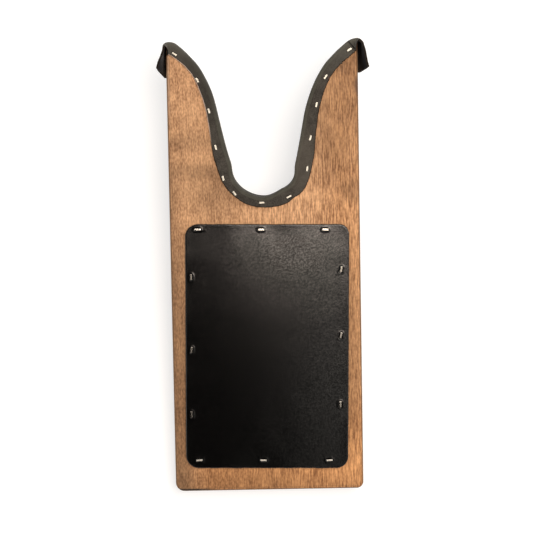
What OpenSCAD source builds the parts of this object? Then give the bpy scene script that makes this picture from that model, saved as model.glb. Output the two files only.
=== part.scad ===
// Boot jack: a tilted wooden board with a leather-lined notch and a stapled leather tread pad.
// Sizes are in millimetres. The board is drawn flat, with its heel end at v = 0 and its
// underside at w = 0, and seat() then tilts it onto the floor.

/* [Board] */
// Width of the board
board_w = 140.8; // [124:0.2:168]
// Length of the board from the heel end to the prong tips
board_l = 333.4; // [300:0.2:400]
// Thickness of the plywood
board_t = 19; // [15:0.5:23]
// Radius of the left heel corner, seen from above
heel_left_r = 6.5; // [3:0.5:14]
// Radius of the right heel corner
heel_right_r = 5; // [3:0.5:14]
// Rounding of the board's long and heel edges
arris_r = 1.8; // [0.5:0.1:3]
// Length of the flat under the heel end that stands on the floor
heel_flat = 9; // [5:0.5:16]

/* [Notch] */
// Depth of the notch from the prong tips
notch_depth = 115.2; // [96:0.1:138]
// Radius of the round throat at the bottom of the notch
throat_r = 26.8; // [22:0.1:32]
// Angle of the left straight side, measured from the board's length
cant_left = 12.2; // [8:0.1:15]
// Angle of the right straight side
cant_right = 9.2; // [8:0.1:15]
// Angle that each side has flared out to where the tip rounding starts
lip_angle = 52; // [44:1:58]
// Radius that rounds each prong tip on the notch side
lip_r = 8.5; // [8.5:0.5:12]
// Radius of the tip's outer corner
tip_r = 1.1; // [0.8:0.1:2]

/* [Cleat] */
// Size of the cleat along the board
cleat_d = 40; // [28:1:50]
// Height of the cleat at its middle, which sets the tilt
cleat_h = 20; // [14:0.5:30]
// Distance from the bottom of the notch back to the cleat's front face
cleat_setback = 22.2; // [10:0.1:40]
// Distance that each end of the cleat stays in from the board's side
cleat_inset = 3.4; // [0.4:0.1:10]

/* [Cleat screws] */
// Distance between the two screws
screw_pitch = 84; // [50:1:100]
// Shank diameter
screw_d = 4.2; // [3.5:0.1:5]
// Diameter of the threaded part's core
screw_core_d = 2.9; // [2.4:0.1:3.2]
// Head diameter
screw_head_d = 8.2; // [7:0.1:10]
// Length of the threaded part below the board
screw_bite = 13; // [8:0.5:13.5]
// Clearance round the shank, the core and the head
screw_gap = 0.15; // [0.1:0.05:0.3]

/* [Lining] */
// Thickness of the leather strip
lining_t = 1.6; // [1.2:0.1:2.2]
// Width of leather that the strip leaves for its upper and lower flaps together
flaps_w = 15.8; // [14:0.1:20]
// Clearance between the leather and the wood
leather_gap = 0.15; // [0.1:0.05:0.3]
// Inner radius of the two folds over the board's edges
fold_inner_r = 0.4; // [0.2:0.1:0.8]
// Length of the tail along each prong's outer side
tail_l = 23.5; // [14:0.5:32]
// Distance by which the square-cut tail is shorter along its top
tail_slant = 6.5; // [0:0.5:9]
// Outward lean of the left tail at its end
lean_left = 11; // [4:0.5:18]
// Outward lean of the right tail at its end
lean_right = 14; // [4:0.5:18]

/* [Tread pad] */
// Strip of board left bare along each side of the pad
pad_side_gap = 9.7; // [5:0.1:20]
// Strip of board left bare between the pad and the heel end
pad_heel_gap = 17; // [8:0.1:30]
// Distance from the bottom of the notch to the pad's near edge
pad_notch_gap = 17.7; // [14:0.1:30]
// Thickness of the pad's leather
pad_t = 2; // [1.5:0.1:3]
// Radius of the pad's corners
pad_corner_r = 8.5; // [4:0.5:15]
// Turn of the pad from square, clockwise seen from above
pad_skew = 1.05; // [0:0.05:1.5]
// Distance from the pad's edge to the middle of a staple
pad_staple_inset = 4.6; // [3.5:0.1:7]

/* [Staples] */
// Outside width of a staple's crown
crown_w = 5.7; // [5:0.1:6.5]
// Width of the flat staple wire
wire_w = 1.25; // [1:0.05:1.4]
// Thickness of the staple wire
wire_t = 1; // [0.8:0.05:1.1]
// Outside radius of a staple's two bends
crown_r = 0.9; // [0.6:0.1:1.2]
// Depth that a crown sinks into the leather
crown_sink = 0.75; // [0.2:0.05:0.9]
// Gap in the middle of the board between the points of upper and lower staples
point_gap = 3.6; // [1:0.1:8]

/* [Hidden] */
$fn = 48;
cut = 1;                                 // how far a cutter reaches past what it cuts
notch_v = board_l - notch_depth;         // bottom of the notch
mouth = board_w / 2 - tip_r;             // half the mouth's width at the tips
cleat_v = notch_v - cleat_setback - cleat_d / 2;
tilt = atan(cleat_h / (cleat_v - heel_flat));
skin = leather_gap + lining_t;           // from the wood to the lining's outer face
fold_r = fold_inner_r + lining_t / 2;    // to the middle of the leather
leg_l = board_t / 2 + skin + wire_t - crown_sink - point_gap / 2;
front_y = (board_l + skin - heel_flat) * cos(tilt);
back_y = -heel_flat * cos(tilt) - board_t * sin(tilt);
pad_w = board_w - 2 * pad_side_gap;
pad_l = notch_v - pad_notch_gap - pad_heel_gap;
pad_v = pad_heel_gap + pad_l / 2;

// Steps on each stretch of the notch's outline
throat_n = 9;
flare_n = 5;
lip_n = 4;
tip_n = 4;
tail_n = 4;

// Width of the top flap in mm at fractions of the way from the notch's bottom to a tip
last_flap = 7.7;
flap_left = [
    [0, 4.4], [0.14, 4.6], [0.35, 7.3], [0.5, 5.6], [0.77, 3.9], [0.95, 5.7], [1, last_flap]];
flap_right = [
    [0, 4.4], [0.12, 5.7], [0.25, 7.9], [0.35, 8.2], [0.6, 6.5], [0.8, 4.9], [0.94, 6], [1, last_flap]];

// Staples through the top flap: [side, fraction of the way to the tip, inset from the edge, turn]
top_staples = [
    [-1, 0.94, 3.4, 7], [-1, 0.756, 3.2, -1], [-1, 0.581, 3.4, 3], [-1, 0.393, 4.8, 4],
    [-1, 0.233, 4.9, -7], [-1, 0.15, 3.6, -9], [-1, 0.013, 1.6, 4],
    [1, 0.119, 3.6, -9], [1, 0.27, 5.4, 1], [1, 0.427, 4.5, -6], [1, 0.603, 4.6, 2],
    [1, 0.758, 2.5, -2], [1, 0.947, 3, -7]];

// Staples through the under flap, as fractions of the way to the tip on each side
under_staples = [0.07, 0.26, 0.44, 0.62, 0.8, 0.93];
under_inset = 4;

// Staples along the pad's edges: fractions of the pad's width or length, with each one's turn
pad_top_row = [[-0.424, 2], [-0.037, 0], [0.354, -2]];
pad_bottom_row = [[-0.418, 5], [-0.023, -3], [0.384, 4]];
pad_left_row = [[0.285, 3], [-0.012, -4], [-0.277, 6]];
pad_right_row = [[0.317, -9], [0.047, -12], [-0.236, 2]];

// The direction at heading h, measured from the board's length towards its side, and its left normal
function along(h) = [sin(h), cos(h)];
function outward(h) = [-cos(h), sin(h)];

// One side's straight length and flare radius, for which the outline ends at the tip's corner
function closing(cant) =
    let (
        across = mouth - throat_r * cos(cant) - lip_r * cos(lip_angle),
        up = notch_depth - throat_r * (1 - sin(cant)) - lip_r * (1 - sin(lip_angle)),
        narrow = cos(cant) - cos(lip_angle),
        rise = sin(lip_angle) - sin(cant),
        d = cos(lip_angle - cant) - 1
    )
    [(across * rise - narrow * up) / d, (sin(cant) * up - cos(cant) * across) / d];

// Where the throat's arc, the straight side and the flare end
function throat_end(cant) = [throat_r * cos(cant), notch_v + throat_r * (1 - sin(cant))];
function straight_end(cant) = throat_end(cant) + closing(cant)[0] * along(cant);
function flare_point(cant, h) =
    straight_end(cant) + closing(cant)[1] * [cos(cant) - cos(h), sin(h) - sin(cant)];
function lip_point(cant, h) =
    flare_point(cant, lip_angle) + lip_r * [cos(lip_angle) - cos(h), sin(h) - sin(lip_angle)];
function tip_point(h) = [mouth, board_l - tip_r] + tip_r * outward(h);

// Lengths along one side of the outline
function arc_l(r, turn) = r * turn * PI / 180;
function throat_l(cant) = arc_l(throat_r, 90 - cant);
function flare_s(cant) = throat_l(cant) + closing(cant)[0];
function lip_s(cant) = flare_s(cant) + arc_l(closing(cant)[1], lip_angle - cant);
function side_l(cant) = lip_s(cant) + arc_l(lip_r, 90 - lip_angle);

// A point at length s along one side, with its heading
function at(cant, s) =
    s < throat_l(cant)
        ? let (h = 90 - s / throat_l(cant) * (90 - cant))
            [throat_r * cos(h), notch_v + throat_r * (1 - sin(h)), h]
    : s < flare_s(cant)
        ? let (p = throat_end(cant) + (s - throat_l(cant)) * along(cant))
            [p[0], p[1], cant]
    : s < lip_s(cant)
        ? let (h = cant + (s - flare_s(cant)) / (lip_s(cant) - flare_s(cant)) * (lip_angle - cant),
               p = flare_point(cant, h))
            [p[0], p[1], h]
    : let (h = lip_angle + (s - lip_s(cant)) / (side_l(cant) - lip_s(cant)) * (90 - lip_angle),
           p = lip_point(cant, h))
        [p[0], p[1], h];

// The lengths at which one side's outline has its points, from the notch's bottom to the tip
function steps(cant) = concat(
    [for (i = [0 : throat_n]) throat_l(cant) * i / throat_n],
    [for (i = [1 : 2]) throat_l(cant) + closing(cant)[0] * i / 2],
    [for (i = [1 : flare_n]) flare_s(cant) + (lip_s(cant) - flare_s(cant)) * i / flare_n],
    [for (i = [1 : lip_n]) lip_s(cant) + (side_l(cant) - lip_s(cant)) * i / lip_n]);

// One side of the board's outline from the notch's bottom round the tip
function side_outline(cant) = concat(
    [for (s = steps(cant)) let (p = at(cant, s)) [p[0], p[1]]],
    [for (i = [1 : tip_n]) tip_point(90 + 90 * i / tip_n)]);

function flip(points) = [for (i = [len(points) - 1 : -1 : 0]) points[i]];
function mirrored(points) = [for (p = points) [-p[0], p[1]]];

// The profile of a cutter that rounds an edge: the edge is at the origin, the wood below and left
function arris_profile(r, n = 6) = concat(
    [[cut, cut], [cut, -r]],
    [for (i = [0 : n]) r * [cos(90 * i / n) - 1, sin(90 * i / n) - 1]],
    [[-r, cut]]);

// Stands the flat-drawn board on the floor, centred on its box
module seat() {
    translate([0, -(front_y + back_y) / 2, 0])
        rotate([tilt, 0, 0])
            translate([0, -heel_flat, 0])
                children();
}

// Everything below the floor, in the flat-drawn board's own frame
module below_floor() {
    reach = 2 * board_l;
    translate([0, heel_flat, 0])
        rotate([-tilt, 0, 0])
            translate([-reach / 2, -reach / 2, -reach])
                cube([reach, reach, reach]);
}

// One end's worth of edge rounding: the long edge, the heel corner and half of the heel's edge
module edge_cutters(r) {
    x = board_w / 2;
    translate([x, board_l + cut, board_t])
        rotate([90, 0, 0])
            linear_extrude(board_l + cut - r)
                polygon(arris_profile(arris_r));
    translate([-cut, 0, board_t])
        rotate([90, 0, 90])
            mirror([1, 0, 0])
                linear_extrude(x - r + cut)
                    polygon(arris_profile(arris_r));
    translate([x - r, r, board_t])
        rotate([0, 0, -90])
            rotate_extrude(angle = 90)
                translate([r, 0])
                    polygon(arris_profile(arris_r));
}

// The waste outside one round heel corner
module corner_waste(r) {
    difference() {
        translate([board_w / 2 - r, -cut, -cut])
            cube([r + cut, r + cut, board_t + 2 * cut]);
        translate([board_w / 2 - r, r, -2 * cut])
            cylinder(r = r, h = board_t + 4 * cut);
    }
}

module screw_places() {
    for (x = [-1, 1])
        translate([x * screw_pitch / 2, cleat_v, board_t])
            children();
}

// A countersunk screw pointing down from its head, or its hole when it is drawn larger by gap
module screw(gap) {
    head_h = (screw_head_d - screw_d) / 2;
    translate([0, 0, -head_h - gap])
        cylinder(r1 = screw_d / 2 + gap, r2 = screw_head_d / 2 + gap, h = head_h);
    translate([0, 0, -board_t - gap])
        cylinder(d = screw_d + 2 * gap, h = board_t);
    translate([0, 0, -board_t - screw_bite - gap])
        cylinder(d = screw_core_d + 2 * gap, h = screw_bite + 2 * gap);
}

module board() {
    color([0.62, 0.44, 0.31])
    seat()
    difference() {
        linear_extrude(board_t)
            polygon(concat(
                [[-board_w / 2, 0], [board_w / 2, 0]],
                flip(side_outline(cant_right)),
                mirrored(side_outline(cant_left))));
        for (side = [[0, heel_right_r], [1, heel_left_r]])
            mirror([side[0], 0, 0]) {
                corner_waste(side[1]);
                edge_cutters(side[1]);
                translate([0, 0, board_t])
                    mirror([0, 0, 1])
                        edge_cutters(side[1]);
            }
        below_floor();
        screw_places() {
            screw(screw_gap);
            translate([0, 0, -screw_gap - cut / 4])
                cylinder(d = screw_head_d + 2 * screw_gap, h = 2 * cut);
        }
    }
}

module cleat() {
    color([0.55, 0.4, 0.28])
    seat()
    difference() {
        translate([-board_w / 2 + cleat_inset, cleat_v - cleat_d / 2, -2 * cleat_h])
            cube([board_w - 2 * cleat_inset, cleat_d, 2 * cleat_h]);
        below_floor();
        screw_places()
            screw(screw_gap);
    }
}

module cleat_screws() {
    color([0.72, 0.68, 0.55])
    seat()
    screw_places()
        difference() {
            screw(0);
            translate([0, 0, -1.4])
                linear_extrude(2)
                    for (turn = [0, 90])
                        rotate(turn)
                            square([3.6, 0.9], center = true);
        }
}

module pad_frame() {
    translate([0, pad_v, board_t])
        rotate([0, 0, -pad_skew])
            children();
}

module tread_pad() {
    x = pad_w / 2 - pad_corner_r;
    y = pad_l / 2 - pad_corner_r;
    color([0.11, 0.1, 0.1])
    seat()
    pad_frame() {
        translate([-x, -pad_l / 2, 0])
            cube([2 * x, pad_l, pad_t]);
        translate([-pad_w / 2, -y, 0])
            cube([pad_w, 2 * y, pad_t]);
        for (side = [-1, 1], end = [-1, 1])
            translate([side * x, end * y, 0])
                cylinder(r = pad_corner_r, h = pad_t);
    }
}

// The strip's cross-section, as [distance out from the wood's edge, height] on the neutral line,
// with the line's direction. It runs from the under flap, up the wall and over the top flap,
// whose own fold opens from 90 degrees to nearly straight along the tails.
function section(top, under, fold, lean) =
    let (
        low = -(leather_gap + lining_t / 2),
        c = [leather_gap + lining_t / 2 - fold_r, low + fold_r],
        e = 90 - lean,
        wall = board_t - 2 * low - 2 * fold_r,
        upper_r = fold_r * 90 / fold,
        p3 = c + fold_r * [sin(e), -cos(e)],
        p4 = p3 + wall * [cos(e), sin(e)],
        c2 = p4 + upper_r * [-sin(e), cos(e)],
        p6 = c2 + upper_r * [sin(e + fold), -cos(e + fold)]
    )
    [[[c[0] - under, low], 0],
     [[c[0], low], 0],
     [c + fold_r * [sin(e / 2), -cos(e / 2)], e / 2],
     [p3, e],
     [p4, e],
     [c2 + upper_r * [sin(e + fold / 2), -cos(e + fold / 2)], e + fold / 2],
     [p6, e + fold],
     [p6 + top * [cos(e + fold), sin(e + fold)], e + fold]];

// Closed loop round the leather's thickness: its outer face, then its inner face back again
function loop(line) = concat(
    [for (q = line) q[0] + lining_t / 2 * [sin(q[1]), -cos(q[1])]],
    [for (q = flip(line)) q[0] - lining_t / 2 * [sin(q[1]), -cos(q[1])]]);

// One ring of the strip at a point with a heading, its loop leaned back along the path by slant
function ring(p, h, line, slant) =
    [for (q = loop(line))
        let (flat = p + q[0] * outward(h) - max(q[1], 0) / tail_h * slant * along(h))
        [flat[0], flat[1], q[1]]];

tail_fold = 5;                           // the tail's top leans back in by this angle
tail_h = board_t + last_flap;            // height over which a tail's end slants
tail_under = 3;                          // width of the under flap along a tail
corner_under = 0.8;                      // and where the strip turns round the tip's corner

// Width of the under flap beside a point of the notch's edge: what the strip leaves, trimmed near
// the tip so that it stays clear of the tail's own under flap
function under_trim(top, p) =
    let (room = (board_w / 2 - tail_under - 1 - p[0]) / max(cos(p[2]), 0.01))
    min(flaps_w - top, max(corner_under, room));

// All rings of one side, from the notch's bottom to the end of the tail
function side_rings(cant, flaps, lean) =
    let (total = side_l(cant))
    concat(
        [for (s = steps(cant))
            let (p = at(cant, s), top = lookup(s / total, flaps))
            ring([p[0], p[1]], p[2],
                section(top, under_trim(top, p), s < lip_s(cant) ? 90 : flap_fold(p[2]), 0), 0)],
        [for (i = [1 : tip_n])
            let (h = 90 + 90 * i / tip_n)
            ring(tip_point(h), h, section(last_flap, corner_under, flap_fold(h), 0), 0)],
        [for (i = [1 : tail_n])
            let (f = i / tail_n)
            ring([board_w / 2, board_l - tip_r - tail_l * f], 180,
                section(last_flap, min(tail_under, corner_under + tail_l * f), tail_fold, lean * f),
                tail_slant * f)]);

// Fold of the top flap round a prong's tip, where it rises off the board and nearly stands
function flap_fold(h) = lookup(h, [[60, 90], [70, 66], [80, 34], [90, 6], [180, tail_fold]]);

function flip_ring(points) = [for (p = points) [-p[0], p[1], p[2]]];

module notch_lining() {
    right = side_rings(cant_right, flap_right, lean_right);
    left = side_rings(cant_left, flap_left, lean_left);
    rings = concat(
        [for (i = [len(left) - 1 : -1 : 1]) flip_ring(left[i])],
        right);
    n = len(rings[0]);
    last = len(rings) - 1;
    half = n / 2 - 1;
    color([0.23, 0.21, 0.19])
    seat()
    polyhedron(
        points = [for (r = rings) each r],
        faces = concat(
            [for (j = [0 : last - 1], i = [0 : n - 1])
                let (a = j * n + i, b = j * n + (i + 1) % n)
                each i < half
                    ? [[a, a + n, b + n], [a, b + n, b]]
                    : [[a, a + n, b], [b, a + n, b + n]]],
            [for (i = [0 : half - 1])
                each [[i, i + 1, n - 2 - i], [i, n - 2 - i, n - 1 - i]]],
            [for (i = [0 : half - 1])
                let (b = last * n)
                each [[b + i, b + n - 2 - i, b + i + 1], [b + i, b + n - 1 - i, b + n - 2 - i]]]),
        convexity = 10);
}

// A staple with its crown along x, its top at the origin and its legs pointing down
module staple() {
    x = crown_w / 2;
    inner_r = max(crown_r - wire_t, 0.05);
    bend = [for (i = [0 : 4]) 90 * i / 4];
    half = concat(
        [for (a = flip(bend)) [x - crown_r + crown_r * cos(a), crown_r * (sin(a) - 1)]],
        [[x, -leg_l + wire_t], [x - wire_t, -leg_l]],
        [for (a = bend)
            [x - wire_t - inner_r + inner_r * cos(a), -wire_t - inner_r + inner_r * sin(a)]]);
    rotate([90, 0, 0])
        linear_extrude(wire_w, center = true)
            polygon(concat(half, flip(mirrored(half))));
}

// Rows of three staples along the pad's four edges
module pad_staples() {
    x = pad_w / 2 - pad_staple_inset;
    y = pad_l / 2 - pad_staple_inset;
    places = concat(
        [for (r = pad_top_row) [r[0] * pad_w, y + 0.8, r[1]]],
        [for (r = pad_bottom_row) [r[0] * pad_w, -y + 1.5, r[1]]],
        [for (r = pad_left_row) [-x - 0.2, r[0] * pad_l, 90 + r[1]]],
        [for (r = pad_right_row) [x - 1.2, r[0] * pad_l, 90 + r[1]]]);
    color([0.82, 0.8, 0.75])
    seat()
    pad_frame()
        for (p = places)
            translate([p[0], p[1], pad_t + wire_t - crown_sink])
                rotate([0, 0, p[2]])
                    staple();
}

// Moves to a point of the notch's edge, moved in by inset, with x along the edge
module edge_place(side, fraction, inset, turn) {
    cant = side < 0 ? cant_left : cant_right;
    p = at(cant, fraction * side_l(cant));
    q = [p[0], p[1]] - inset * outward(p[2]);
    translate([side * q[0], q[1], 0])
        rotate([0, 0, side * (90 - p[2]) + turn])
            children();
}

module lining_top_staples() {
    color([0.82, 0.8, 0.75])
    seat()
    for (s = top_staples)
        edge_place(s[0], s[1], s[2], s[3])
            translate([0, 0, board_t + skin + wire_t - crown_sink])
                staple();
}

module lining_under_staples() {
    color([0.82, 0.8, 0.75])
    seat()
    for (side = [-1, 1], f = under_staples)
        edge_place(side, f, under_inset, 0)
            translate([0, 0, -skin - wire_t + crown_sink])
                mirror([0, 0, 1])
                    staple();
}

board();
cleat();
cleat_screws();
tread_pad();
notch_lining();
pad_staples();
lining_top_staples();
lining_under_staples();
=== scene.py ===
import bpy
import bmesh
import math
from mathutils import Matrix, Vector, noise


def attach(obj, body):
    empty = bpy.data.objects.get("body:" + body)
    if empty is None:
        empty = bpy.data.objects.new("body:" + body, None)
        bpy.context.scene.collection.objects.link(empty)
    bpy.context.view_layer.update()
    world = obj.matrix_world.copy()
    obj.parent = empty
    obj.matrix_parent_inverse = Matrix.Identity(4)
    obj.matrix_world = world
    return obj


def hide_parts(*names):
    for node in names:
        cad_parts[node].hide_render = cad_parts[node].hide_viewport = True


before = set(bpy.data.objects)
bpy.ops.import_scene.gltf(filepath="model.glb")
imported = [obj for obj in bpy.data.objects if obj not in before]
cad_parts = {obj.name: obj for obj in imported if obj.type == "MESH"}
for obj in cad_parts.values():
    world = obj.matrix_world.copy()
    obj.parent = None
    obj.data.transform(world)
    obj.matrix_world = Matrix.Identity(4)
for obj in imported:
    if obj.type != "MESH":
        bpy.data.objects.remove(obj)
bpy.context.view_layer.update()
print("frame loaded:", ", ".join(sorted(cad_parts)))

scene = bpy.context.scene
scene.view_settings.view_transform = "Standard"


# camera, straight over the jack as the photograph was taken

cameraSettings = {
    "place": (0.00134, -0.00058, 1.7),
    "turn": -1.063,  # degrees about the line of sight
    "lens": 150.78, "sensor": 36.0,
}

cameraData = bpy.data.cameras.new("overheadCamera")
cameraData.lens = cameraSettings["lens"]
cameraData.sensor_width = cameraSettings["sensor"]
camera = bpy.data.objects.new("overheadCamera", cameraData)
camera.location = cameraSettings["place"]
camera.rotation_euler = (0, 0, math.radians(cameraSettings["turn"]))
scene.collection.objects.link(camera)
scene.camera = camera


# small helpers for node trees

def put(tree, socket, value):
    # a socket is linked, anything else set
    if isinstance(value, bpy.types.NodeSocket):
        tree.links.new(value, socket)
    else:
        socket.default_value = value


def newNode(tree, kind, values=None, **options):
    # a node with its options and inputs set
    made = tree.nodes.new("ShaderNode" + kind)
    for name, option in options.items():
        setattr(made, name, option)
    for label, value in (values or {}).items():
        put(tree, made.inputs[label], value)
    return made.outputs


def maths(tree, kind, a, b=0.5, c=0.5, clamp=False):
    return newNode(tree, "Math", {0: a, 1: b, 2: c}, operation=kind, use_clamp=clamp)[0]


def times(tree, a, b):
    return maths(tree, "MULTIPLY", a, b)


def less(tree, a, b):
    return maths(tree, "SUBTRACT", a, b)


def unsigned(tree, a):
    return maths(tree, "ABSOLUTE", a)


def mixed(tree, factor, a, b, how="MIX"):
    return newNode(tree, "Mix", {0: factor, 6: a, 7: b}, data_type="RGBA", blend_type=how,
                   clamp_factor=True)[2]


def painted(tree, color, mask, amount, tone, how="MIX"):
    # the colour with a tone laid over it where the mask is
    return mixed(tree, times(tree, mask, amount), color, tone, how)


def spread(tree, value, fromLow, fromHigh, toLow=0.0, toHigh=1.0):
    return newNode(tree, "MapRange", {
        "Value": value, "From Min": fromLow, "From Max": fromHigh, "To Min": toLow,
        "To Max": toHigh}, interpolation_type="SMOOTHSTEP")["Result"]


def noiseField(tree, vector, scale, detail=3.0, rough=0.55, twist=0.0):
    # scale is one number, or three that stretch the field along the axes
    if isinstance(scale, tuple):
        stretch = {0: vector, 1: scale}
        vector = newNode(tree, "VectorMath", stretch, operation="MULTIPLY")["Vector"]
        scale = 1.0
    return newNode(tree, "TexNoise", {
        "Vector": vector, "Scale": scale, "Detail": detail, "Roughness": rough,
        "Distortion": twist})["Fac"]


def splitVector(tree, vector):
    return list(newNode(tree, "SeparateXYZ", {0: vector}))


def attribute(tree, name):
    return newNode(tree, "Attribute", attribute_name=name)["Fac"]


def bumped(tree, height, strength, distance):
    return newNode(tree, "Bump", {
        "Height": height, "Strength": strength, "Distance": distance})["Normal"]


def grouped(tree, group, **values):
    return newNode(tree, "Group", values, node_tree=group)


def newGroup(name, ins, outs):
    tree = bpy.data.node_groups.new(name, "ShaderNodeTree")
    for way, sockets in (("INPUT", ins), ("OUTPUT", outs)):
        for label, kind in sockets.items():
            tree.interface.new_socket(name=label, in_out=way, socket_type="NodeSocket" + kind)
    source = tree.nodes.new("NodeGroupInput").outputs
    return tree, source, tree.nodes.new("NodeGroupOutput").inputs


def newMaterial(name):
    material = bpy.data.materials.new(name)
    material.use_nodes = True
    return material, material.node_tree


def finished(material, specular, values):
    # links or sets the shader's sockets by name
    shader = material.node_tree.nodes["Principled BSDF"]
    shader.inputs["Specular IOR Level"].default_value = specular
    for label, value in values.items():
        put(material.node_tree, shader.inputs[label], value)
    return material


# where the jack stands: the board is drawn flat in mm and tilted onto the floor

boardShape = {
    "width": 140.8, "length": 333.4, "thick": 19.0,
    "heelFlat": 9.0, "cleatHeight": 20.0, "cleatMiddle": 176.0,
    "notchDepth": 115.2, "throatRadius": 26.8,
    "cantLeft": 12.2, "cantRight": 9.2,
    "lipAngle": 52.0, "lipRadius": 8.5, "tipRadius": 1.1,
}
liningGap = 0.15
liningThick = 1.6
liningSkin = liningGap + liningThick

tilt = math.atan(boardShape["cleatHeight"] / (boardShape["cleatMiddle"] - boardShape["heelFlat"]))
frontEdge = (boardShape["length"] + liningSkin - boardShape["heelFlat"]) * math.cos(tilt)
backEdge = -boardShape["heelFlat"] * math.cos(tilt) - boardShape["thick"] * math.sin(tilt)
middleY = (frontEdge + backEdge) / 2
millimetre = 0.001


def seated(u, v, w):
    # from the flat-drawn board in mm to the standing jack in metres
    y = (v - boardShape["heelFlat"]) * math.cos(tilt) - w * math.sin(tilt) - middleY
    z = (v - boardShape["heelFlat"]) * math.sin(tilt) + w * math.cos(tilt)
    return Vector((u * millimetre, y * millimetre, z * millimetre))


def boardCoordinates(tree):
    # object coordinates turned back to the flat-drawn board, in mm
    return newNode(tree, "Mapping", {
        "Vector": newNode(tree, "TexCoord")["Object"],
        "Scale": (1000, 1000, 1000),
        "Rotation": (-tilt, 0, 0),
        "Location": (0, middleY * math.cos(tilt) + boardShape["heelFlat"],
                     -middleY * math.sin(tilt)),
    }, vector_type="POINT")["Vector"]


# light, walls and floor

roomSettings = {
    "wall": 1.0, "ceiling": 0.0,    # brightness of the room seen round the jack
    "wallEnds": 0.25, "ceilingStarts": 0.8,    # upward part of the line of sight
    "floorSize": 8.0, "floorTone": 0.5, "floorLift": 0.62, "floorRough": 0.9,
}
paleWarm = (1.0, 0.94, 0.86)
lampSettings = {    # place, size, power, colour, and whether it points straight down
    "topLamp": ((0.75, 1.05, 2.4), (1.5, 1.6), 43.0, paleWarm, True),
    # the next two are seen in the pad's sheen, bright at the notch and dim at the heel
    "nearPanel": ((0.71, -0.11, 2.4), (1.5, 0.8), 25.5, (1.0, 0.86, 0.75), True),
    "farPanel": ((0.86, -1.10, 2.4), (1.5, 1.15), 3.4, paleWarm, True),
    "fillLamp": ((-1.6, -0.6, 1.6), (1.2, 1.2), 7.0, paleWarm, False),
}

world = scene.world = bpy.data.worlds.new("paleRoom")
world.use_nodes = True
worldTree = world.node_tree
upward = splitVector(worldTree, newNode(worldTree, "TexCoord")["Generated"])[2]
roomLevel = spread(worldTree, upward, roomSettings["wallEnds"], roomSettings["ceilingStarts"],
                   roomSettings["wall"], roomSettings["ceiling"])
background = worldTree.nodes["Background"].inputs
background["Color"].default_value = (1, 1, 1, 1)
put(worldTree, background["Strength"], roomLevel)

for lampName, (place, size, power, color, level) in lampSettings.items():
    lampData = bpy.data.lights.new(lampName, "AREA")
    lampData.shape = "RECTANGLE"
    lampData.size, lampData.size_y = size
    lampData.energy, lampData.color = power, color
    lamp = bpy.data.objects.new(lampName, lampData)
    lamp.location = place
    away = Vector((0, 0, 1) if level else place)
    lamp.rotation_euler = away.to_track_quat("Z", "Y").to_euler()
    scene.collection.objects.link(lamp)

bpy.ops.mesh.primitive_plane_add(size=roomSettings["floorSize"], location=(0, 0, 0))
floor = bpy.context.object
floor.name = "floor"
floorMaterial, floorTree = newMaterial("paleFloor")
rays = newNode(floorTree, "LightPath")
seen = maths(floorTree, "ADD", rays["Is Camera Ray"], rays["Is Glossy Ray"])
seen = maths(floorTree, "ADD", seen, rays["Is Transmission Ray"], clamp=True)
finished(floorMaterial, 0.0, {
    "Base Color": (roomSettings["floorTone"],) * 3 + (1,),
    "Roughness": roomSettings["floorRough"],
    "Emission Color": (1, 1, 1, 1),
    "Emission Strength": times(floorTree, seen, roomSettings["floorLift"]),
})
floor.data.materials.append(floorMaterial)
print("camera, lamps and floor placed")


# the notch's edge, as the board is cut

def cosine(degrees):
    return math.cos(math.radians(degrees))


def sine(degrees):
    return math.sin(math.radians(degrees))


def along(h):
    return Vector((sine(h), cosine(h)))


def outward(h):
    return Vector((-cosine(h), sine(h)))


def arcStep(radius, h0, h):
    # the way along an arc from heading h0 to heading h
    return radius * Vector((cosine(h0) - cosine(h), sine(h) - sine(h0)))


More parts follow.
